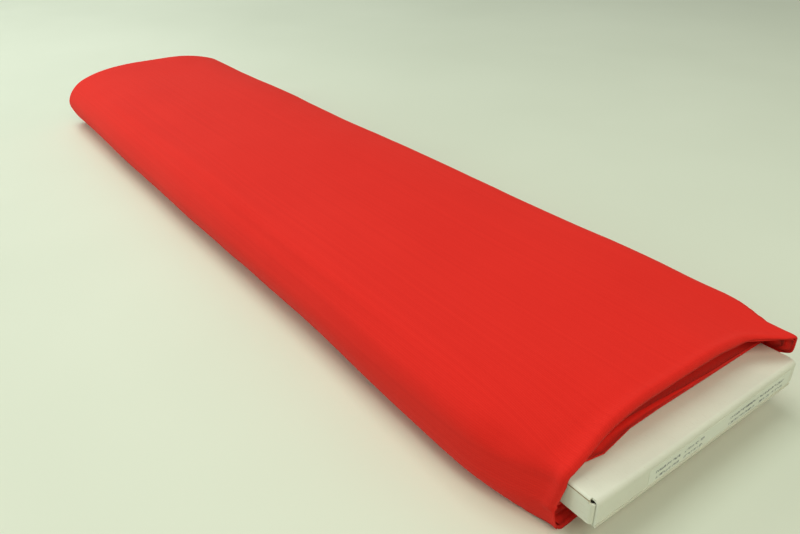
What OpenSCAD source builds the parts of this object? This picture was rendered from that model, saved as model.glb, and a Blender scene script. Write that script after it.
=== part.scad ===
// A flat-fold bolt of knitted cloth: a folded cardboard board with tuck-in ends,
// and a doubled length of cloth wound round it. It lies on its broad face.
// X runs along the board towards the label end, Y across it, Z up.
// The origin is the middle of the underside.

/* [Board] */
// Length of the board over its two end flaps
board_l = 780; // [400:10:1200]
// Width of the board
board_w = 165; // [130:1:240]
// Thickness of the board
board_t = 16; // [13:0.5:30]
// Thickness of the lined chipboard that it is folded from
card_t = 1.2; // [0.9:0.1:1.6]
// Outside radius of the folds along the board's length
long_fold_r = 1.8; // [1.8:0.1:3]
// Height of the open seam under the top panel's cut edge
seam_gap = 0.4; // [0.2:0.1:0.6]
// Width of the glue tab under the top panel
glue_tab_w = 20; // [10:1:30]

/* [End flaps] */
// Outside radius of the soft fold between the top panel and an end flap
flap_fold_r = 2.6; // [2.2:0.1:3.6]
// Length of the tongue that tucks in over the bottom panel
tongue_l = 11; // [6:0.5:12]
// Slope at which the tucked tongue springs up
tongue_rise = 25; // [20:1:40]
// Gap between the end flap and the cards behind and below it
flap_gap = 0.2; // [0.1:0.05:0.4]
// How far each side edge of an end flap stops short of the board's side
flap_side_gap = 1.6; // [0.6:0.1:3]
// Length of a dust flap, from its corner inwards
dust_flap_l = 38; // [20:1:50]
// Outside radius of the upright corners that turn into the dust flaps
corner_r = 2.6; // [2.2:0.1:3.6]
// Height of the small hole left where three folds meet at a corner
corner_hole = 1.6; // [0.8:0.1:2.5]
// Gap above and below a dust flap, and between it and the tongue
dust_gap = 0.5; // [0.3:0.1:1]

/* [Liners] */
// Thickness of the facing paper of the corrugated liners
facing_t = 0.5; // [0.4:0.05:0.8]
// Pitch of the corrugations
flute_pitch = 8.6; // [6:0.2:12]
// Gap between the liners and the sleeve round them
liner_gap = 0.2; // [0.1:0.05:0.5]
// How far the liners and the glue tab stop short of each end of the board
liner_setback = 48; // [42:1:90]

/* [Cloth] */
// Length of board left bare at the label end
near_bare = 20; // [8:1:60]
// Length of board left bare at the far end
far_bare = 4; // [4:1:40]
// Thickness of the tight inner turns
inner_turns_t = 10.5; // [3:0.5:30]
// Thickness of the loose outer turns
outer_turns_t = 6.5; // [1.5:0.5:20]
// Clearance that lets the board slide out of the winding
slide_gap = 0.3; // [0.3:0.05:0.6]

/* [Label] */
// Length of the paper label on the end flap
label_l = 122; // [60:1:124]
// Height of the paper label
label_h = 9; // [5:0.5:9.5]
// How far the label's middle sits off the flap's middle
label_shift = 16; // [-16:1:16]
// Thickness of the paper label
label_t = 0.15; // [0.1:0.05:0.3]

/* [Hidden] */
$fn = 48;
FACES = 1;                                  // overlap of a cut past the faces it goes through
wind_t = inner_turns_t + outer_turns_t;
board_z = wind_t + slide_gap;               // underside of the board
half_l = board_l / 2;
half_w = board_w / 2;
flap_x = half_l - flap_fold_r;              // where the top panel ends and the flap's fold begins
dust_x = half_l - card_t - flap_gap;        // outer face of the dust flaps
sleeve_x = dust_x - corner_r;               // where the side panels start to turn the corner
dust_y = half_w - corner_r;                 // where a corner turns into its dust flap
inside_h = board_t - 2 * card_t;
flap_drop = board_t - card_t - flap_gap;    // depth of the end flap below the top face
flap_bend = [flap_fold_r - card_t, -flap_drop + card_t];  // middle of the fold into the tongue
flap_w = board_w - 2 * flap_side_gap;
tongue_w = 2 * (dust_y - dust_flap_l - 2 * dust_gap);
dust_h = board_t - flap_fold_r - card_t - dust_gap;  // up to where the end flap starts to bend
dust_chamfer = min(4, dust_h / 3);          // cut-back of a dust flap's free corners
liner_w = board_w - 2 * long_fold_r - 2 * liner_gap;
liner_t = (inside_h - card_t - 2 * liner_gap) / 2;   // two liners under the glue tab
flute_t = 0.4;                              // thickness of the waved paper itself
glue_flat = 0.3;                            // how far its crests are pressed flat
lower_z = liner_gap / 2;                    // underside of the lower liner above the bottom panel
upper_z = lower_z + liner_t + liner_gap;
flute_h = liner_t - 2 * facing_t;
WAVE_STEPS = 8;                             // straight steps along one corrugation
cloth_l = board_l - near_bare - far_bare;
cloth_x = -half_l + far_bare;
BOARD_WHITE = [0.85, 0.86, 0.78];
RAW_BROWN = [0.66, 0.52, 0.36];
CLOTH_RED = [0.85, 0.16, 0.13];

// A rectangle w wide and h high, standing on the X axis and centred on Y, with round corners
module round_bar(w, h, r) {
    for (side = [-1, 1], z = [r, h - r])
        translate([side * (w / 2 - r), z])
            circle(r);
    translate([-w / 2, r])
        square([w, h - 2 * r]);
    translate([-w / 2 + r, 0])
        square([w - 2 * r, h]);
}

// Turns a flat outline, drawn with Y to the right and Z up, into a length l along X
module along_x(l) {
    rotate([90, 0, 90])
        linear_extrude(l)
            children();
}

// Turns a flat outline, drawn with X to the right and Z up, into a width w along Y
module across_y(w) {
    translate([0, w / 2, 0])
        rotate([90, 0, 0])
            linear_extrude(w)
                children();
}

module quarter_disc(r) {
    intersection() {
        circle(r);
        square(r);
    }
}

// A quarter of a flat ring in the first quadrant, one card thick
module quarter_ring(r) {
    difference() {
        quarter_disc(r);
        circle(r - card_t);
    }
}

// Outline of one group of turns: a band of even thickness round the board
module turns_outline(from_t, to_t) {
    out = slide_gap + to_t;
    in = slide_gap + from_t;
    translate([0, board_z - out])
        difference() {
            round_bar(board_w + 2 * out, board_t + 2 * out, long_fold_r + out);
            translate([0, out - in])
                round_bar(board_w + 2 * in, board_t + 2 * in, long_fold_r + in);
        }
}

module turns(from_t, to_t) {
    color(CLOTH_RED)
        translate([cloth_x, 0, 0])
            along_x(cloth_l)
                turns_outline(from_t, to_t);
}

module cloth_outer_turns() {
    turns(inner_turns_t, wind_t);
}

module cloth_inner_turns() {
    turns(0, inner_turns_t);
}

module sleeve_inside() {
    translate([0, card_t])
        round_bar(board_w - 2 * card_t, inside_h, long_fold_r - card_t);
}

// The sleeve's section: three folds, and a cut top edge lying over the left side panel
module sleeve_outline() {
    difference() {
        round_bar(board_w, board_t, long_fold_r);
        sleeve_inside();
        translate([-half_w - FACES, board_t - card_t - seam_gap])
            square([card_t + 2 * FACES, seam_gap]);
    }
}

// One upright corner, where a side panel turns in towards its dust flap
module sleeve_corner() {
    translate([sleeve_x, dust_y, card_t])
        linear_extrude(inside_h - corner_hole)
            quarter_ring(corner_r);
}

module sleeve_end() {
    for (side = [0, 1])
        mirror([0, side, 0])
            sleeve_corner();
    translate([sleeve_x, -half_w + long_fold_r, 0])
        cube([half_l - sleeve_x, board_w - 2 * long_fold_r, card_t]);
    translate([sleeve_x, -half_w + flap_side_gap, board_t - card_t])
        cube([flap_x - sleeve_x, flap_w, card_t]);
}

module board_sleeve() {
    color(BOARD_WHITE)
        translate([0, 0, board_z]) {
            translate([-sleeve_x, 0, 0])
                along_x(2 * sleeve_x)
                    sleeve_outline();
            for (end = [0, 1])
                mirror([end, 0, 0])
                    sleeve_end();
        }
}

// The tab that is folded in from the left side panel and glued under the top panel
module glue_tab() {
    l = board_l - 2 * liner_setback;
    color(RAW_BROWN)
        translate([-l / 2, 0, board_z])
            along_x(l)
                intersection() {
                    sleeve_inside();
                    translate([-half_w, board_t - 2 * card_t])
                        square([glue_tab_w, card_t]);
                }
}

// Height of the corrugated paper's underside at a place across the liner
function wave_z(y) = (flute_h - flute_t) / 2 + (flute_h - flute_t + glue_flat) / 2 * sin(360 * y / flute_pitch);

// The waved paper, its crests pressed flat where they are glued to the facings
module flute_outline() {
    steps = ceil(liner_w / flute_pitch * WAVE_STEPS);
    ys = [for (i = [0 : steps]) -liner_w / 2 + liner_w * i / steps];
    upper = [for (y = ys) [y, wave_z(y) + flute_t]];
    lower = [for (i = [steps : -1 : 0]) [ys[i], wave_z(ys[i])]];
    intersection() {
        polygon(concat(upper, lower));
        translate([-liner_w / 2, 0])
            square([liner_w, flute_h]);
    }
}

// Lays a flat outline along the board as one paper of a liner, z above the bottom panel
module liner_paper(z) {
    color(RAW_BROWN)
        translate([-half_l + liner_setback, 0, board_z + card_t + z])
            along_x(board_l - 2 * liner_setback)
                children();
}

module facing(z) {
    liner_paper(z)
        translate([-liner_w / 2, 0])
            square([liner_w, facing_t]);
}

module flute(z) {
    liner_paper(z + facing_t)
        flute_outline();
}

// An end flap from the side, with its hinge line at the origin: a soft fold, the face and its lower edge
module end_flap_outline() {
    translate([0, -flap_fold_r])
        quarter_ring(flap_fold_r);
    translate(flap_bend)
        square([card_t, flap_drop - card_t - flap_fold_r]);
    translate(flap_bend)
        mirror([0, 1])
            quarter_disc(card_t);
}

// The bend at the face's lower edge and the tongue that springs up inside from it
module tongue_outline() {
    along = [-cos(tongue_rise), sin(tongue_rise)];
    out = [-sin(tongue_rise), -cos(tongue_rise)];
    translate(flap_bend)
        circle(card_t);
    polygon([
        flap_bend,
        flap_bend + card_t * out,
        flap_bend + card_t * out + tongue_l * along,
        flap_bend + tongue_l * along,
    ]);
}

module end_flap() {
    color(BOARD_WHITE)
        translate([flap_x, 0, board_z + board_t]) {
            across_y(flap_w)
                end_flap_outline();
            across_y(tongue_w)
                tongue_outline();
        }
}

module near_end_flap() {
    end_flap();
}

module far_end_flap() {
    mirror([1, 0, 0])
        end_flap();
}

// A dust flap behind the end flap on the +Y side, its free corners cut back
module dust_flap() {
    c = dust_chamfer;
    l = dust_flap_l;
    color(BOARD_WHITE)
        translate([dust_x - card_t, dust_y - l, board_z + card_t + dust_gap])
            along_x(card_t)
                polygon([
                    [l, 0],
                    [l, dust_h - corner_hole],
                    [l - corner_hole, dust_h],
                    [c / 2, dust_h],
                    [0, dust_h - c],
                    [0, c],
                    [c / 2, 0],
                ]);
}

module near_dust_flap_left() {
    mirror([0, 1, 0])
        dust_flap();
}

module near_dust_flap_right() {
    dust_flap();
}

module far_dust_flap_left() {
    mirror([1, 0, 0])
        near_dust_flap_left();
}

module far_dust_flap_right() {
    mirror([1, 0, 0])
        near_dust_flap_right();
}

// The paper label on the near end flap's flat face
module end_label() {
    face_mid = board_z + board_t - (flap_fold_r + flap_drop) / 2;
    color("white")
        translate([half_l, label_shift - label_l / 2, face_mid - label_h / 2])
            cube([label_t, label_l, label_h]);
}

cloth_outer_turns();
cloth_inner_turns();
board_sleeve();
glue_tab();
facing(lower_z);  // liner_lower_bottom_facing
flute(lower_z);  // liner_lower_flute
facing(lower_z + liner_t - facing_t);  // liner_lower_top_facing
facing(upper_z);  // liner_upper_bottom_facing
flute(upper_z);  // liner_upper_flute
facing(upper_z + liner_t - facing_t);  // liner_upper_top_facing
near_end_flap();
near_dust_flap_left();
near_dust_flap_right();
far_end_flap();
far_dust_flap_left();
far_dust_flap_right();
end_label();
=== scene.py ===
import math

import bpy
import numpy as np
from mathutils import Matrix, Vector


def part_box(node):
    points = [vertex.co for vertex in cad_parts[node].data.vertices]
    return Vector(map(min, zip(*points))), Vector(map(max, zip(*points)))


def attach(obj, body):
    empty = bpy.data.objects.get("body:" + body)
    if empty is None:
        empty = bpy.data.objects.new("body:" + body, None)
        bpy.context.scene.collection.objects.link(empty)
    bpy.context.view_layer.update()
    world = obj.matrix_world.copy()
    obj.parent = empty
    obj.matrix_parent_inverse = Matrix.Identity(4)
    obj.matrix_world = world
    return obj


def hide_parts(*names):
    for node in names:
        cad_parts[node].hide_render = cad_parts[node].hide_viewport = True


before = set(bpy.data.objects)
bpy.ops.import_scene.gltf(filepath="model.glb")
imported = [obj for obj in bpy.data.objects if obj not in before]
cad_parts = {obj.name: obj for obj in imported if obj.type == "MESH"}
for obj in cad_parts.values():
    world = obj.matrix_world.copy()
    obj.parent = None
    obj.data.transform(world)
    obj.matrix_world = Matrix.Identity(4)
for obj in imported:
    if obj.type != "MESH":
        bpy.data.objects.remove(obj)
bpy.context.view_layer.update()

MM = 0.001


def in_mm(box):
    """A box's lowest and highest corners, in millimetres."""
    return [np.array(corner) / MM for corner in box]


SLEEVE_LOW, SLEEVE_HIGH = in_mm(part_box("board_sleeve"))
CLOTH_LOW, CLOTH_HIGH = in_mm(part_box("cloth_outer_turns"))
LABEL_LOW = in_mm(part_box("end_label"))[0]

# The photograph's camera, fitted to the bolt's outline and the board's edges
LENS, SENSOR = 32.06, 36            # millimetres
AZIMUTH, ELEVATION, ROLL = 54.156, 30.195, -1.036   # degrees
EYE = (0.51319, -0.27304, 0.27579)  # metres
CLIP_START = 0.01


def make_camera():
    """The photograph's camera."""
    az, el, roll = [math.radians(a) for a in (AZIMUTH, ELEVATION, ROLL)]
    back = Vector((math.sin(az) * math.cos(el), -math.cos(az) * math.cos(el), math.sin(el)))
    level = Vector((0, 0, 1)).cross(back).normalized()
    upright = back.cross(level)
    right = level * math.cos(roll) + upright * math.sin(roll)
    up = upright * math.cos(roll) - level * math.sin(roll)
    data = bpy.data.cameras.new("camera")
    data.lens = LENS
    data.sensor_fit = "HORIZONTAL"
    data.sensor_width = SENSOR
    data.clip_start = CLIP_START
    camera = bpy.data.objects.new("camera", data)
    turn = Matrix((right, up, back)).transposed().to_4x4()
    camera.matrix_world = Matrix.Translation(EYE) @ turn
    bpy.context.scene.collection.objects.link(camera)
    bpy.context.scene.camera = camera


make_camera()


# ---------------------------------------------------------------- helpers

def smooth(x, low, high):
    """0 below low, 1 above high, and a smooth rise between them."""
    t = np.clip((x - low) / (high - low), 0, 1)
    return t * t * (3 - 2 * t)


def bump(x, middle, width):
    """1 at the middle, falling away to nothing on both sides."""
    return np.exp(-(((x - middle) / width) ** 2))


def fading(s, reach, power):
    """1 at s = 0, falling away over the given reach. A higher power makes it steeper."""
    return np.exp(-((s / reach) ** power))


def rippled(w, ripples):
    """A sum of sine waves along the turns, each with a height, waves a turn and a phase."""
    return sum(a * np.sin(k * w * 2 * np.pi + p) for a, k, p in ripples)


class Waves:
    """A sum of a few seeded sine waves over two coordinates, seldom past -1 or 1."""

    def __init__(self, seed, size_a, size_b, count=7):
        rng = np.random.default_rng(seed)
        turn = rng.uniform(0, 2 * np.pi, count)
        scale = rng.uniform(0.6, 1.6, count) * 2 * np.pi
        self.a = np.cos(turn) * scale / size_a
        self.b = np.sin(turn) * scale / size_b
        self.phase = rng.uniform(0, 2 * np.pi, count)

    def __call__(self, a, b):
        a, b = np.broadcast_arrays(a, b)
        waves = zip(self.a, self.b, self.phase)
        total = sum(np.sin(ka * a + kb * b + p) for ka, kb, p in waves)
        return total / math.sqrt(len(self.a) * 2)


def new_mesh(name, points, faces, weave):
    """A smooth-shaded mesh object from points in millimetres. weave gives each point its place
    on the flat cloth, which the cloth's material reads."""
    me = bpy.data.meshes.new(name)
    me.from_pydata([], [], [])
    me.vertices.add(len(points))
    places = (np.asarray(points, np.float64) * MM).astype(np.float32)
    me.vertices.foreach_set("co", places.ravel())
    sizes = np.array([len(f) for f in faces])
    corner_points = np.concatenate([np.asarray(f) for f in faces]).astype(np.int32)
    me.loops.add(int(sizes.sum()))
    me.loops.foreach_set("vertex_index", corner_points)
    me.polygons.add(len(faces))
    me.polygons.foreach_set("loop_start", (np.cumsum(sizes) - sizes).astype(np.int32))
    me.update(calc_edges=True)
    me.validate()
    me.shade_smooth()
    layer = me.attributes.new("weave", "FLOAT_VECTOR", "POINT")
    layer.data.foreach_set("vector", np.asarray(weave, np.float32).ravel())
    ob = bpy.data.objects.new(name, me)
    bpy.context.scene.collection.objects.link(ob)
    return ob


# ---------------------------------------------------------------- the wound cloth
#
# One doubled length of cloth, wound round the board as a spiral. It is folded along its
# length at the far end, and its two free edges lie at the label end. w counts turns. A turn
# begins at the left end of the underside, and goes along the underside, up the right side,
# back over the top and down the left side. depth is 0 at the board and about 1 outside.
#
# Lengths are in millimetres. A pair named _X or _Y is the range over which a shape sets in
# along the board, or across it towards the shape's own side. _UP and _DOWN are such ranges
# of the sine of the direction out of the core. _S is one inwards from the label end, or a
# fade's reach and power. _AT is a bump's middle and width.

# The core: the board with its rounded edges, which the turns go round
CORE_R = 1.8
BOARD_Y = SLEEVE_HIGH[1]
BOARD_LOW, BOARD_HIGH = SLEEVE_LOW[2], SLEEVE_HIGH[2]
CORE_Y = BOARD_Y - CORE_R
CORE_LOW, CORE_HIGH = BOARD_LOW + CORE_R, BOARD_HIGH - CORE_R
CORE_H = CORE_HIGH - CORE_LOW
NEAR_X, FAR_X = CLOTH_HIGH[0], CLOTH_LOW[0]
WIND_T = CLOTH_HIGH[2] - BOARD_HIGH
SLIDE_GAP = 0.5                     # between the board and the first layer
LEAST_T = 1                         # the thinnest that the winding gets

# The spiral
TURNS = 11
START_W = 0.17                      # where the cloth starts, under the board
TAIL_ARC = 0.53                     # the share of the last corner that the free end covers
ARC_LENGTH = 17.0                   # a corner's length, as it counts towards a turn
PLY_SLOTS = (0.04, 0.48, 0.52, 0.97)   # the four faces of the two plies, within one turn
FOLD_R, INNER_FOLD_R = 0.9, 0.15    # the doubled cloth's fold, outside and inside
FOLD_ANGLES = np.radians([30, 60, 90, 120, 150])
FAR_FOLD_ROOM = 1.2                 # from the CAD winding's end to the folds
FAR_WANDER = ((0.8, 1.7, 0.0), (0.6, 3.3, 2.0))
SEGMENTS = [2 * CORE_Y, ARC_LENGTH, CORE_H, ARC_LENGTH] * 2
MARKS = np.concatenate([[0], np.cumsum(SEGMENTS)]) / sum(SEGMENTS)
LAST_CORNER = MARKS[7]
TAIL_W = TURNS - 1 + LAST_CORNER + TAIL_ARC * (1 - LAST_CORNER)


def core_place(w):
    """The core's centre point, and the direction out of it as an angle, at w turns."""
    u = w % 1.0
    corner_y = np.array([-1, 1, 1, 1, 1, -1, -1, -1, -1]) * CORE_Y
    corner_z = np.array([0, 0, 0, 1, 1, 1, 1, 0, 0]) * CORE_H + CORE_LOW
    angle = np.array([-90, -90, 0, 0, 90, 90, 180, 180, 270])
    return (
        np.interp(u, MARKS, corner_y),
        np.interp(u, MARKS, corner_z),
        np.radians(np.interp(u, MARKS, angle)),
    )


# How thick the winding is over each face of the board
FAR_CROWN, NEAR_CROWN = 9.8, 1.3    # the dome over the top, at the far end and the label end
CROWN_GROWTH = 1.5
DOME_POWER = 3
FAR_SHOULDER, SHOULDER_GROWTH = -2.0, 1.3   # the far end's corners lie lower
SIDE_BULGE, BULGE_S, BULGE_LEVEL = 1.2, (40, 220), 0.2
LEFT_DROP, LEFT_DROP_S = 12.3, (34.0, 1.35)     # the label end sinks at its left corner
LEFT_DROP_WIDE, LEFT_DROP_POWER = 54.0, 1.6
RIGHT_DROP, RIGHT_DROP_S, RIGHT_DROP_Y = 4.2, (46.0, 1.4), (22, 76)    # and at its right
LEFT_PULL, LOW_LEFT_LESS, RIGHT_PULL = 14.2, 1.8, 15.2  # and its sides draw in
PULL_S = (26.0, 1.5)
LIP_DIP, LIP_DIP_AT, LIP_DIP_Y = 0.6, (8, 4.5), (0, 60)     # a hollow behind the lip
TOP_WAVE, TOP_WAVE_S = 0.7, (15, 120)
SIDE_WAVE, SIDE_WAVE_S = 0.55, (20, 90)
RIGHT_WAVES_Z = 900.0               # sets the right side's waves apart from the left side's
FINE_WAVE = 0.16

top_waves = Waves(3, 210, 150)
side_waves = Waves(8, 95, 300)
fine_waves = Waves(11, 60, 46)


def toward_far(x):
    """0 at the label end and 1 at the far end."""
    return np.clip((NEAR_X - x) / (NEAR_X - FAR_X), 0, 1)


def crown(x):
    """How much thicker the winding is over the middle of the board than over its sides."""
    return NEAR_CROWN + (FAR_CROWN - NEAR_CROWN) * toward_far(x) ** CROWN_GROWTH


def side_bulge(x):
    """How much the middle of a side stands out."""
    return SIDE_BULGE * smooth(NEAR_X - x, *BULGE_S)


def top_thickness(x, y, depth):
    """Thickness of the winding over the board's top."""
    across = np.abs(np.clip(y / CORE_Y, -1, 1))
    t = WIND_T + FAR_SHOULDER * toward_far(x) ** SHOULDER_GROWTH
    t = t + crown(x) * (1 - across**DOME_POWER)
    s = np.clip(NEAR_X - x, 0, None)
    from_left = np.clip((y + CORE_Y) / LEFT_DROP_WIDE, 0, 1)
    t = t - LEFT_DROP * (1 - from_left) ** LEFT_DROP_POWER * fading(s, *LEFT_DROP_S)
    t = t - RIGHT_DROP * smooth(y, *RIGHT_DROP_Y) * fading(s, *RIGHT_DROP_S)
    t = t + TOP_WAVE * top_waves(x, y) * smooth(s, *TOP_WAVE_S)
    t = t - LIP_DIP * bump(s, *LIP_DIP_AT) * smooth(-y, *LIP_DIP_Y)
    return t + FINE_WAVE * fine_waves(x, y) * depth


def side_thickness(x, left, z):
    """Thickness of the winding over the board's left or right side."""
    s = np.clip(NEAR_X - x, 0, None)
    low = (CORE_HIGH - z) / CORE_H
    pull = np.where(left, LEFT_PULL - LOW_LEFT_LESS * low, RIGHT_PULL)
    t = WIND_T - pull * fading(s, *PULL_S)
    t = t + side_bulge(x) * (BULGE_LEVEL - (2 * low - 1) ** 2)
    waves = side_waves(x, np.where(left, 0.0, RIGHT_WAVES_Z) + z)
    return t + SIDE_WAVE * waves * smooth(s, *SIDE_WAVE_S)


def under_thickness(w):
    """Thickness under the board, so that the outermost turn lies flat on the table."""
    u = w % 1.0
    flat = WIND_T / ((TURNS - 1 + u) / TURNS)
    tail = smooth(u, LAST_CORNER + TAIL_ARC * (1 - LAST_CORNER), 1.0)
    last_corner = WIND_T + (WIND_T * TURNS / (TURNS - 1) - WIND_T) * tail
    return np.where(u >= LAST_CORNER, last_corner, flat)


# Where the free edges lie at the label end. The layers lie in four groups from the board
# outwards, and each pair of depths is where one group gives way to the next.
INNER_TO_MIDDLE = (0.19, 0.25)
MIDDLE_TO_LOOSE = (0.6, 0.66)
LOOSE_TO_OUTER = (0.885, 0.905)
LAST_PLY = (0.968, 0.985)
INNER_BACK, INNER_RECESS = 0.3, 2.0
INNER_BULGE, INNER_BULGE_AT = 4.2, (-62, 16)
MIDDLE_BACK, MIDDLE_RECESS, MIDDLE_RIGHT, MIDDLE_UNDER = 21.0, 2, 9, 14
LOOSE_BACK, LOOSE_RECESS, LOOSE_RIGHT, LOOSE_UNDER = 13.0, 2, 22, 10
OUTER_OUT, LAST_PLY_OUT = 0.9, 0.9
CORNER_OUT, CORNER_Y = 2.6, (50, 80)            # over the left corner
TUCKED_OUT, TUCKED_Y, TUCKED_DOWN = 0.8, (62, 80), (0.0, 0.8)   # and under it
TIP_OUT, TIP_Y = 14.416, (50, 84)   # the pointed tip at the right corner
TIP_POWER, TIP_UNDER = 1.4, 0.35
LEFT_Y, RIGHT_Y, TOP_UP, UNDER_UP = (46, 80), (52, 80), (-0.5, 0.9), (-0.9, -0.2)
EDGE_JITTER, INNER_JITTER = ((0.9, 2.3, 1.1), (0.7, 5.1, 0.0)), 0.15


def near_edge(w, depth):
    """Where a turn's free edge lies along x."""
    cy, cz, angle = core_place(w)
    up = np.sin(angle)
    left, right = smooth(-cy, *LEFT_Y), smooth(cy, *RIGHT_Y)
    top, under = smooth(up, *TOP_UP), 1 - smooth(up, *UNDER_UP)
    inner = 1 - smooth(depth, *INNER_TO_MIDDLE)
    outermost = smooth(depth, *LOOSE_TO_OUTER)
    loose = smooth(depth, *MIDDLE_TO_LOOSE) * (1 - outermost)
    middle = np.clip(1 - inner - loose - outermost, 0, 1)
    recess = left * (1 - under)
    x_inner = NEAR_X - INNER_BACK + INNER_BULGE * bump(cy, *INNER_BULGE_AT) * top
    x_inner = x_inner - INNER_RECESS * recess
    x_middle = NEAR_X - MIDDLE_BACK - MIDDLE_RECESS * recess
    x_middle = x_middle + MIDDLE_RIGHT * right + MIDDLE_UNDER * under
    x_loose = NEAR_X - LOOSE_BACK - LOOSE_RECESS * recess
    x_loose = x_loose + LOOSE_RIGHT * right * top + LOOSE_UNDER * under
    corner = smooth(-cy, *CORNER_Y) * (cz - CORE_LOW) / CORE_H
    tucked = smooth(-cy, *TUCKED_Y) * smooth(-up, *TUCKED_DOWN)
    tip = smooth(cy, *TIP_Y) ** TIP_POWER * (TIP_UNDER + (1 - TIP_UNDER) * top)
    x_outer = NEAR_X + OUTER_OUT + LAST_PLY_OUT * smooth(depth, *LAST_PLY)
    x_outer = x_outer + CORNER_OUT * corner + TUCKED_OUT * tucked + TIP_OUT * tip
    x = inner * x_inner + middle * x_middle + loose * x_loose + outermost * x_outer
    return x + rippled(w, EDGE_JITTER) * (middle + loose + INNER_JITTER * inner)


def far_edge(w):
    """Where a turn's fold lies along x."""
    return FAR_X + FAR_FOLD_ROOM + rippled(w, FAR_WANDER)


# The lip: the outermost turn's rolled edge at the label end
LIP_R = 2.3
LIP_DEPTHS = (0.9, 0.915)           # depths over which it sets in
LIP_LOWEST_UP = -0.6                # it goes this far down the sides
RIDGE, RIDGE_AT = 0.9, (3.2, 2.6)
ROLLED = 0.95
TIP_FLAT, TIP_FLAT_Y = 0.85, (40, 79)

# Small shapes in the surface. Those named _ANGLE hold a bump's middle and width in degrees.
BOXY, NEAR_BOXY, BOXY_S = 2.0, 4.5, (26, 2)     # how square a corner is, and the tip's corner
VALLEY, VALLEY_ANGLE = 0.9, (128, 13)           # a long hollow along the upper left corner
VALLEY_X, VALLEY_S = (-360, -200), (30, 110)
FLARE, FLARE_W = 1.3, 0.035         # the free end stands a little off the turn below it
FLARE_X, FLARE_END_X = (-300, -215), (30, 100)
DIMPLE, DIMPLE_ANGLE = 2.2, (148, 30)           # a dent in that corner, near the label end
DIMPLE_AT = (26, 11)
CURL, CURL_S = 1.8, (11, 2)         # the label end's lower left edge lifts off the table
CURL_Y, CURL_DOWN = (50, 80), (0.1, 0.8)
LEAST_Z = 0.3                       # inner layers stay up to this far above the table


def lip(s, cy):
    """How far the rolled edge stands proud, s in from the edge."""
    inside = np.clip(LIP_R - s, 0, None)
    roll = LIP_R - np.sqrt(np.clip(LIP_R**2 - inside**2, 0, None))
    ridge = RIDGE * bump(s, *RIDGE_AT)
    return (ridge - ROLLED * roll) * (1 - TIP_FLAT * smooth(cy, *TIP_FLAT_Y))


def eased(turned, slope):
    """The share cut from a corner's reach, turned radians from a face, so that it meets the
    face's slope without a kink."""
    return slope * turned * (1 - turned / (math.pi / 2)) ** 2


def corner_reach(x, cy, angle, depth, wide, tall):
    """How far out of the core a layer lies. It rounds the corners between the winding's
    thickness over the sides and its thickness over the top or bottom."""
    up = np.sin(angle)
    near = fading((NEAR_X - x).clip(0), *BOXY_S) * depth**3
    boxy = BOXY + NEAR_BOXY * near * ((cy > 0) & (up > 0))
    cos, sin = np.abs(np.cos(angle)), np.abs(up)
    reach = (cos / (CORE_R + wide)) ** boxy + (sin / (CORE_R + tall)) ** boxy
    reach = reach ** (-1 / boxy)
    top_slope = DOME_POWER * crown(x) / CORE_Y * depth * (up > 0)
    side_slope = 4 * side_bulge(x) / CORE_H * depth
    turned = np.arcsin(np.clip(sin, 0, 1))
    return reach * (1 - eased(math.pi / 2 - turned, top_slope) - eased(turned, side_slope))


def cloth_point(w, slot, s, x):
    """Points of the winding, slot turns out from w and s in from their own edge."""
    cy, cz, angle = core_place(w)
    up, degrees = np.sin(angle), np.degrees(angle)
    depth = (w + slot) / TURNS
    wide = side_thickness(x, cy < 0, cz)
    tall = np.where(up >= 0, top_thickness(x, cy, depth), under_thickness(w))
    wide, tall = [SLIDE_GAP + np.clip(t - SLIDE_GAP, LEAST_T, None) * depth for t in (wide, tall)]
    reach = corner_reach(x, cy, angle, depth, wide, tall)
    reach = reach + smooth(depth, *LIP_DEPTHS) * (up > LIP_LOWEST_UP) * lip(s, cy)
    valley = bump(degrees, *VALLEY_ANGLE) * smooth(x, *VALLEY_X) * smooth(NEAR_X - x, *VALLEY_S)
    reach = reach - VALLEY * valley * depth**2
    loose = smooth(x, *FLARE_X) * (1 - smooth(x, *FLARE_END_X)) * (depth > LIP_DEPTHS[0])
    reach = reach + FLARE * loose * smooth(w + slot / TURNS, TAIL_W - FLARE_W, TAIL_W)
    dimple = bump(NEAR_X - x, *DIMPLE_AT) * bump(degrees, *DIMPLE_ANGLE)
    reach = reach - DIMPLE * dimple * depth * wide / WIND_T
    curl = fading((NEAR_X - x).clip(0), *CURL_S) * smooth(-cy, *CURL_Y) * smooth(-up, *CURL_DOWN)
    z = cz + reach * up + CURL * curl * depth
    z = np.maximum(z, LEAST_Z * (1 - depth))
    return np.stack([x, cy + reach * np.cos(angle), z], -1)


def steps_along(length, first, growth, widest, last, shrink):
    """Distances in from the label end's edge, close together at both ends."""
    at = [0.0]
    while at[-1] < length:
        to_end = length - at[-1]
        at.append(at[-1] + min(widest, first + growth * at[-1], last + shrink * to_end))
    return np.array(at) / at[-1] * length


def turn_rows(flat_rows, corner_rows, side_rows):
    """The parts of a turn at which rows of points lie."""
    counts = [flat_rows, corner_rows, side_rows, corner_rows] * 2
    spans = zip(MARKS, MARKS[1:], counts)
    return np.concatenate([np.linspace(a, b, n, endpoint=False) for a, b, n in spans])


LEAST_ROW_GAP = 1e-4                # turns


def rows_between(first, last, parts):
    """Rows from first to last, in turns, with both ends."""
    whole = np.concatenate([k + parts for k in range(int(first), int(last) + 1)])
    inside = whole[(whole > first + LEAST_ROW_GAP) & (whole < last - LEAST_ROW_GAP)]
    return np.concatenate([[first], inside, [last]])


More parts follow.
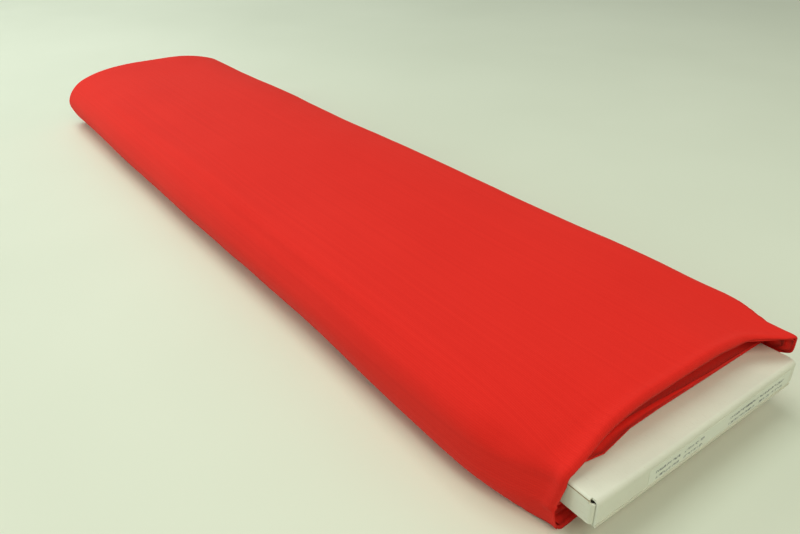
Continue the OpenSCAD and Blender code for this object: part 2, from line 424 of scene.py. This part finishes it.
# The free end's cut edge, which waves a little and reaches further under towards both ends
TAIL_EASE = 0.07                    # turns
TAIL_WAVE, TAIL_SHORT = 1.3, 1.2
TAIL_LIFT, TAIL_LIFT_X, TAIL_LIFT_END_X = 1.8, (-260, -190), (40, 110)
TAIL_TUCK, TAIL_TUCK_X = 7.5, (170, 350)
FAR_TUCK, FAR_TUCK_X = 2.0, (-386, -300)
tail_waves = Waves(21, 62, 1, 5)


def tail_shift(w, x):
    """Moves the last rows a little along the turn, which shapes the free end's cut edge."""
    ease = np.clip((w - (TAIL_W - TAIL_EASE)) / TAIL_EASE, 0, 1) ** 2
    lifted = TAIL_LIFT * smooth(x, *TAIL_LIFT_X) * (1 - smooth(x, *TAIL_LIFT_END_X))
    tucked = TAIL_TUCK * smooth(x, *TAIL_TUCK_X) + FAR_TUCK * (1 - smooth(x, *FAR_TUCK_X))
    amount = TAIL_WAVE * tail_waves(x, 0.0) - TAIL_SHORT - lifted + tucked
    return w + ease * amount / sum(SEGMENTS)


def ring(w, steps):
    """One closed row of points round the doubled cloth at w turns."""
    inner_d, inner_c, outer_b, outer_a = PLY_SLOTS
    rows = []
    far = far_edge(w)
    for slot, backwards in ((outer_a, False), (inner_d, True), (inner_c, False), (outer_b, True)):
        edge = near_edge(w, (w + slot) / TURNS)
        end = far + FOLD_R if slot in (inner_c, outer_b) else far
        s = steps * (edge - end) / steps[-1]
        x = edge - s
        pts = cloth_point(tail_shift(w, x), slot, s, x)
        rows.append(pts[::-1] if backwards else pts)
        if not backwards:
            # the rounded fold at the far end, to the face that the row comes back on
            r, other = (FOLD_R, inner_d) if slot == outer_a else (INNER_FOLD_R, outer_b)
            for a in FOLD_ANGLES:
                level = slot + (other - slot) * (0.5 - 0.5 * math.cos(a))
                xf = np.array([x[-1] - r * math.sin(a)])
                rows.append(cloth_point(tail_shift(w, xf), level, s[-1:], xf))
    return np.concatenate(rows)


def zip_rings(a, b):
    """Triangles between two closed rows of different counts, as index triples."""
    faces = []
    i, j = 0, 0
    na, nb = len(a), len(b)
    while i < na or j < nb:
        if j >= nb or (i < na and (i + 1) / na <= (j + 1) / nb):
            faces.append((a[i % na], b[j % nb], a[(i + 1) % na]))
            i += 1
        else:
            faces.append((a[i % na], b[j % nb], b[(j + 1) % nb]))
            j += 1
    return faces


def ring_caps(r, n, turned):
    """The cut end of the doubled cloth: a strip of faces across each ply and its fold. r is
    the ring's points, n on each face of a ply."""
    bend = len(FOLD_ANGLES)
    a = r[0:n]
    fold = r[n:n + bend]
    d = r[n + bend:2 * n + bend][::-1]
    c = r[2 * n + bend:3 * n + bend]
    small = r[3 * n + bend:3 * n + 2 * bend]
    b = r[3 * n + 2 * bend:][::-1]
    faces = []
    for upper, lower in ((a, b), (c, d)):
        for i in range(n - 1):
            faces.append([upper[i], upper[i + 1], lower[i + 1], lower[i]])
    outer = [a[-1], *fold, d[-1]]
    inner = [b[-1], *small[::-1], c[-1]]
    for i in range(len(outer) - 1):
        faces.append([outer[i], outer[i + 1], inner[i + 1], inner[i]])
    if turned:
        faces = [f[::-1] for f in faces]
    return faces


# How closely the points lie, which is finer on the outermost turns. Steps are a first step,
# its growth, the widest step, the last step and its growth. Rows are those on a flat face,
# on a corner and on a side.
FINE_TURNS = 1.16
COARSE_STEPS, FINE_STEPS = (1.0, 0.35, 62, 1.6, 0.5), (0.45, 0.13, 13.5, 1.2, 0.25)
COARSE_ROWS, FINE_ROWS = (7, 5, 1), (34, 12, 4)


def wound_cloth():
    """The whole winding as one closed mesh, and the length of cloth wound."""
    length = NEAR_X - FAR_X
    fine_from = TAIL_W - FINE_TURNS
    coarse = steps_along(length, *COARSE_STEPS)
    fine = steps_along(length, *FINE_STEPS)
    coarse_w = rows_between(START_W, fine_from, turn_rows(*COARSE_ROWS))
    fine_w = rows_between(fine_from, TAIL_W, turn_rows(*FINE_ROWS))
    points, weave, rings, count = [], [], [], 0
    travel = 0.0
    last_mid = None
    for steps, ws in ((coarse, coarse_w), (fine, fine_w)):
        for w in ws:
            pts = ring(w, steps)
            mid = pts[len(steps) // 2]
            if last_mid is not None:
                travel += float(np.linalg.norm((mid - last_mid)[1:]))
            last_mid = mid
            points.append(pts)
            weave.append(pts * (1, 0, 0) + (0, travel, 0))
            rings.append(np.arange(count, count + len(pts)))
            count += len(pts)
    faces = []
    for a, b in zip(rings, rings[1:]):
        if len(a) == len(b):
            faces.extend(np.stack([a, b, np.roll(b, -1), np.roll(a, -1)], -1).tolist())
        else:
            faces.extend(zip_rings(a.tolist(), b.tolist()))
    faces.extend(ring_caps(rings[0], len(coarse), False))
    faces.extend(ring_caps(rings[-1], len(fine), True))
    ob = new_mesh("wound_cloth", np.concatenate(points), faces, np.concatenate(weave) * MM)
    return ob, travel


# ---------------------------------------------------------------- materials
#
# Colours are linear. The shaders read lengths in metres, and noise scales in cycles a metre.

RED = (0.76, 0.022, 0.015)
# The third tint is painted shade, a darker red for the knit's hollows.
RED_DARK, RED_LIGHT, RED_PIT_SHADE = (0.93, 0.8, 0.8), (1.05, 1.15, 1.15), (0.93, 0.82, 0.82)
RED_SHEEN = (1.0, 0.22, 0.18, 1)
WALE, COURSE = 0.0011, 0.0009       # the knit's columns and rows
STITCH_LEAN = 1.6                   # radians that a rib moves its stitches along the row
RIB_SHARE, STITCH_SHARE = 0.6, 0.4
PATCHES, STREAKS, FUZZ, FUZZ_HEIGHT = 9.0, (3.0, 420.0, 0), 900.0, 0.8
MOTTLE, GRAIN, FIBRES = 22.0, 900.0, (240.0, 1500.0, 1500.0)
NOISE_MIDDLE = (0.3, 0.7)           # where most of a noise's values lie
KNIT_DEPTH, GRAIN_DEPTH, MOTTLE_DEPTH = 0.00006, 0.00006, 0.0006
WHITE_CARD = (0.74, 0.75, 0.65)
PULP = (0.42, 0.31, 0.18)
KRAFT, KRAFT_FIBRE = (0.42, 0.29, 0.17), (0.2, 0.12, 0.06)
LABEL, LABEL_FIBRE = (0.76, 0.79, 0.70), (0.5, 0.5, 0.46)
INK = (0.10, 0.11, 0.13, 1)


def material(name, base, roughness):
    """A new material with its Principled shader."""
    mat = bpy.data.materials.new(name)
    mat.use_nodes = True
    tree = mat.node_tree
    shader = tree.nodes["Principled BSDF"]
    shader.inputs["Base Color"].default_value = (*base, 1)
    shader.inputs["Roughness"].default_value = roughness
    return mat, tree, shader


def tinted(colour, tint):
    """A colour times a tint, which is one factor or one for each channel."""
    return (*np.multiply(colour, tint), 1)


def feed(tree, socket, value):
    """Gives a socket its value, or links it to the socket that makes it."""
    if isinstance(value, bpy.types.NodeSocket):
        tree.links.new(value, socket)
    else:
        socket.default_value = value


def node(tree, kind, inputs=None, **settings):
    """A new shader node, with its inputs fed and its settings made."""
    n = tree.nodes.new(kind)
    for key, value in settings.items():
        setattr(n, key, value)
    for key, value in (inputs or {}).items():
        feed(tree, n.inputs[key], value)
    return n


def noise(tree, vector, scale, detail=3.0, rough=0.5):
    """Noise from 0 to 1 that is mostly near its middle."""
    inputs = {"Vector": vector, "Scale": scale, "Detail": detail, "Roughness": rough}
    return node(tree, "ShaderNodeTexNoise", inputs).outputs["Fac"]


def calc(tree, operation, a, b=0.0):
    """One sum on one or two values."""
    return node(tree, "ShaderNodeMath", {0: a, 1: b}, operation=operation).outputs[0]


def scaled(tree, vector, scale):
    """A vector times another one, part by part."""
    inputs = {0: vector, 1: scale}
    return node(tree, "ShaderNodeVectorMath", inputs, operation="MULTIPLY").outputs[0]


def split(tree, vector):
    """A vector's three parts."""
    return node(tree, "ShaderNodeSeparateXYZ", {0: vector}).outputs


def mixed(tree, fac, low, high):
    """A colour between low, at 0, and high, at 1."""
    n = node(tree, "ShaderNodeMix", data_type="RGBA")
    for socket, value in ((n.inputs[0], fac), (n.inputs[6], low), (n.inputs[7], high)):
        feed(tree, socket, value)
    return n.outputs[2]


def ranged(tree, value, low, high, to_low=0.0, to_high=1.0):
    """A value moved from one range to another, and held inside it."""
    inputs = {0: value, 1: low, 2: high, 3: to_low, 4: to_high}
    return node(tree, "ShaderNodeMapRange", inputs).outputs[0]


def bumped(tree, shader, height, distance, strength, under=None):
    """Gives a shader a raised surface, on top of the one under it."""
    inputs = {"Height": height, "Distance": distance, "Strength": strength}
    if under is not None:
        inputs["Normal"] = under
    raised = node(tree, "ShaderNodeBump", inputs).outputs["Normal"]
    tree.links.new(raised, shader.inputs["Normal"])
    return raised


def jersey():
    """Fine red jersey: rows of small knitted stitches with painted shade in their hollows, a soft
    sheen and slight unevenness.
    """
    mat, tree, shader = material("red_jersey", RED, 0.8)
    place = node(tree, "ShaderNodeAttribute", attribute_name="weave").outputs["Vector"]
    along, across = split(tree, place)[:2]
    column = calc(tree, "MULTIPLY", across, 2 * math.pi / WALE)
    row = calc(tree, "MULTIPLY", along, 2 * math.pi / COURSE)
    ribs = calc(tree, "SINE", column)
    lean = calc(tree, "ADD", row, calc(tree, "MULTIPLY", ribs, STITCH_LEAN))
    stitches = calc(tree, "SINE", lean)
    rib_part = calc(tree, "MULTIPLY", ribs, RIB_SHARE)
    stitch_part = calc(tree, "MULTIPLY", stitches, STITCH_SHARE)
    knit = calc(tree, "ADD", rib_part, stitch_part)
    soft = noise(tree, scaled(tree, place, (1, 1, 0)), PATCHES, 4.0)
    streak = noise(tree, scaled(tree, place, STREAKS), 1.0, 3.0)
    fuzz = noise(tree, scaled(tree, place, (1, 1, 0)), FUZZ, 2.0)
    soft_part = calc(tree, "MULTIPLY", soft, 0.5)
    streak_part = calc(tree, "MULTIPLY", streak, 0.5)
    tone = ranged(tree, calc(tree, "ADD", soft_part, streak_part), *NOISE_MIDDLE)
    colour = mixed(tree, tone, tinted(RED, RED_DARK), tinted(RED, RED_LIGHT))
    # Painted shade: the knit's low parts are tinted a darker red.
    pit_shade = ranged(tree, knit, -1.0, 0.2)
    colour = mixed(tree, pit_shade, tinted(RED, RED_PIT_SHADE), colour)
    tree.links.new(colour, shader.inputs["Base Color"])
    tree.links.new(ranged(tree, fuzz, 0.2, 0.8, 0.74, 0.92), shader.inputs["Roughness"])
    height = calc(tree, "ADD", knit, calc(tree, "MULTIPLY", fuzz, FUZZ_HEIGHT))
    bumped(tree, shader, height, KNIT_DEPTH, 0.6)
    shader.inputs["Sheen Weight"].default_value = 0.16
    shader.inputs["Sheen Roughness"].default_value = 0.5
    shader.inputs["Sheen Tint"].default_value = RED_SHEEN
    shader.inputs["Specular IOR Level"].default_value = 0.12
    return mat


def card(name, face, fibre, fibre_amount=0.12, gloss=0.62, edges=None, extra=None):
    """Board or paper: pulp mottling, stray fibres and a slight tooth. edges finds the cut edges,
    which show the brown pulp, and extra adds print to the colour."""
    mat, tree, shader = material(name, face, gloss)
    place = node(tree, "ShaderNodeTexCoord").outputs["Object"]
    mottle = noise(tree, place, MOTTLE, 5.0, 0.6)
    pulp = noise(tree, place, GRAIN, 3.0, 0.6)
    fibres = noise(tree, scaled(tree, place, FIBRES), 1.0, 2.0)
    tone = ranged(tree, mottle, *NOISE_MIDDLE)
    colour = mixed(tree, tone, tinted(face, 0.94), tinted(face, 1.03))
    specks = calc(tree, "MULTIPLY", ranged(tree, fibres, 0.62, 0.72), fibre_amount)
    colour = mixed(tree, specks, colour, (*fibre, 1))
    if edges is not None:
        layers = noise(tree, place, GRAIN, 2.0)
        ragged = mixed(tree, layers, tinted(PULP, 0.8), tinted(PULP, 1.15))
        colour = mixed(tree, edges(tree, place), colour, ragged)
    if extra is not None:
        colour = extra(tree, place, colour)
    tree.links.new(colour, shader.inputs["Base Color"])
    roughness = ranged(tree, mottle, *NOISE_MIDDLE, gloss - 0.08, gloss + 0.12)
    tree.links.new(roughness, shader.inputs["Roughness"])
    first = bumped(tree, shader, mottle, MOTTLE_DEPTH, 0.35)
    bumped(tree, shader, pulp, GRAIN_DEPTH, 0.7, first)
    shader.inputs["Specular IOR Level"].default_value = 0.35
    return mat


def within(tree, value, low, high, soft):
    """1 where value lies between low and high, with soft borders."""
    up = ranged(tree, value, low - soft, low + soft)
    down = ranged(tree, value, high - soft, high + soft, 1.0, 0.0)
    return calc(tree, "MULTIPLY", up, down)


# Where the card's brown pulp shows, in millimetres. A face begins to count as facing along
# an axis at SQUARE_ON's first value, and counts in full at its second.
SQUARE_ON = (0.97, 0.99)
SEAM_Z = BOARD_HIGH - 1.4           # the sleeve's open seam, along its left side
SEAM_BELOW, SEAM_ABOVE = 0.35, 0.3
SEAM_SOFT = 0.06
SEAM_Y = 1.5 - BOARD_Y
SEAM_RAGS = (160.0, 1.0, 1.0)       # cycles a metre
END_SHARE = 0.18                    # the sleeve's cut ends show only this much of it
FLAP_EDGE_Z = BOARD_HIGH - 1.5


def faces_and_places(tree, place):
    """The parts of the surface's direction and of its place."""
    normal = node(tree, "ShaderNodeNewGeometry").outputs["True Normal"]
    return split(tree, normal), split(tree, place)


def cut_edges(tree, place):
    """1 on the sleeve's open seam, and a share of it on its cut ends."""
    facing, spot = faces_and_places(tree, place)
    ends = ranged(tree, calc(tree, "ABSOLUTE", facing[0]), *SQUARE_ON)
    low, high = (SEAM_Z - SEAM_BELOW) * MM, (SEAM_Z + SEAM_ABOVE) * MM
    seam = within(tree, spot[2], low, high, SEAM_SOFT * MM)
    seam = calc(tree, "MULTIPLY", seam, calc(tree, "LESS_THAN", spot[1], SEAM_Y * MM))
    ragged = noise(tree, scaled(tree, place, SEAM_RAGS), 1.0, 2.0)
    seam = calc(tree, "MULTIPLY", seam, ranged(tree, ragged, 0.25, 0.6, 0.45, 1.0))
    return calc(tree, "MAXIMUM", calc(tree, "MULTIPLY", ends, END_SHARE), seam)


def flap_edges(tree, place):
    """1 on the faces of a flap that look up or down, below the board's top panel."""
    facing, spot = faces_and_places(tree, place)
    upright = ranged(tree, calc(tree, "ABSOLUTE", facing[2]), *SQUARE_ON)
    below = calc(tree, "LESS_THAN", spot[2], FLAP_EDGE_Z * MM)
    return calc(tree, "MULTIPLY", upright, below)


# The printed dashes, in millimetres from the label's lower left corner: where each block
# starts and ends, and where each row starts and how tall it is
PRINT_BLOCKS = ((5, 43), (65, 116))
PRINT_ROWS = ((4.7, 1.7), (1.1, 1.5))
PRINT_STRENGTH = 0.85
BLOCK_SOFT, ROW_SOFT = 0.2, 0.1
GLYPHS, WORDS = (1.0, 1500.0, 900.0), (1.0, 260.0, 0.0)     # cycles a metre


def printed(tree, place, colour):
    """Two small blocks of unreadable printed dashes, in two rows each."""
    across, up = split(tree, place)[1:]
    glyphs = noise(tree, scaled(tree, place, GLYPHS), 1.0, 1.0)
    words = noise(tree, scaled(tree, place, WORDS), 1.0, 1.0)
    glyphs, words = ranged(tree, glyphs, 0.46, 0.54), ranged(tree, words, 0.40, 0.46)
    ink = calc(tree, "MULTIPLY", glyphs, words)
    y, z = LABEL_LOW[1:]
    blocks = None
    for low, high in PRINT_BLOCKS:
        for row, tall in PRINT_ROWS:
            side = within(tree, across, (y + low) * MM, (y + high) * MM, BLOCK_SOFT * MM)
            line = within(tree, up, (z + row) * MM, (z + row + tall) * MM, ROW_SOFT * MM)
            block = calc(tree, "MULTIPLY", side, line)
            blocks = block if blocks is None else calc(tree, "MAXIMUM", blocks, block)
    ink = calc(tree, "MULTIPLY", calc(tree, "MULTIPLY", ink, blocks), PRINT_STRENGTH)
    return mixed(tree, ink, colour, INK)


# ---------------------------------------------------------------- the pieces and their finish

def dress(name, mat):
    """Gives a carried-over CAD piece its material."""
    materials = bpy.data.objects[name].data.materials
    materials.clear()
    materials.append(mat)


cloth, cloth_length = wound_cloth()
cloth.data.materials.append(jersey())
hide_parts("cloth_outer_turns", "cloth_inner_turns")
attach(cloth, "cloth")

white_card = card("white_lined_card", WHITE_CARD, PULP, edges=cut_edges)
flap_card = card("white_flap_card", WHITE_CARD, PULP, edges=flap_edges)
kraft_paper = card("kraft_paper", KRAFT, KRAFT_FIBRE, 0.4, gloss=0.75)
label_paper = card("label_paper", LABEL, LABEL_FIBRE, 0.05, gloss=0.58, extra=printed)
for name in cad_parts:
    if name.startswith("liner_"):
        dress(name, kraft_paper)
    elif name == "end_label":
        dress(name, label_paper)
    elif "flap" in name:
        dress(name, flap_card)
    elif not name.startswith("cloth"):
        dress(name, white_card)


# ---------------------------------------------------------------- floor and light

TABLE, TABLE_ROUGHNESS = (0.72, 0.76, 0.66), 0.55
TABLE_DARK, TABLE_PALE = (0.68, 0.73, 0.62, 1), (0.72, 0.77, 0.66, 1)
TABLE_HALF = 6.0                    # metres
TABLE_PATCHES = 3.0

# Each light's name, its place and side in metres, its watts and its colour
WARM = (1.0, 0.97, 0.78)
COOL = (0.98, 1.04, 0.95)
STUDIO = (
    ("overhead", (-0.5, -0.1, 2.4), 1.5, 24, COOL),
    ("front", (1.5, -0.4, 1.6), 1.2, 19, WARM),
    ("right", (0.9, 1.7, 1.4), 1.4, 4, WARM),
    ("far", (-2.0, 0.2, 1.2), 1.2, 9, COOL),
    ("window", (-1.2, -1.3, 0.8), 1.0, 15, COOL),
)
AMBIENT, AMBIENT_STRENGTH = (0.97, 1.0, 0.9, 1), 0.13


def floor():
    """A plain pale table top, slightly uneven in tone."""
    mat, tree, shader = material("pale_table", TABLE, TABLE_ROUGHNESS)
    place = node(tree, "ShaderNodeTexCoord").outputs["Object"]
    tone = ranged(tree, noise(tree, place, TABLE_PATCHES, 3.0), *NOISE_MIDDLE)
    colour = mixed(tree, tone, TABLE_DARK, TABLE_PALE)
    tree.links.new(colour, shader.inputs["Base Color"])
    me = bpy.data.meshes.new("table")
    corners = [(x * TABLE_HALF, y * TABLE_HALF, 0) for x, y in ((-1, -1), (1, -1), (1, 1), (-1, 1))]
    me.from_pydata(corners, [], [(0, 1, 2, 3)])
    me.materials.append(mat)
    ob = bpy.data.objects.new("table", me)
    bpy.context.scene.collection.objects.link(ob)


def area_light(name, at, size, watts, colour):
    """A square light that points at the middle of the table."""
    data = bpy.data.lights.new(name, "AREA")
    data.shape = "RECTANGLE"
    data.size = data.size_y = size
    data.energy = watts
    data.color = colour
    ob = bpy.data.objects.new(name, data)
    ob.rotation_euler = (-Vector(at)).to_track_quat("-Z", "Y").to_euler()
    ob.location = at
    bpy.context.scene.collection.objects.link(ob)


def lighting():
    """Soft lights all round the table, the strongest overhead and beyond the label end."""
    world = bpy.data.worlds.new("studio")
    world.use_nodes = True
    background = world.node_tree.nodes["Background"]
    background.inputs["Color"].default_value = AMBIENT
    background.inputs["Strength"].default_value = AMBIENT_STRENGTH
    bpy.context.scene.world = world
    for name, at, size, watts, colour in STUDIO:
        area_light(name, at, size, watts, colour)


bpy.context.scene.view_settings.view_transform = "Standard"
floor()
lighting()

bpy.context.view_layer.update()
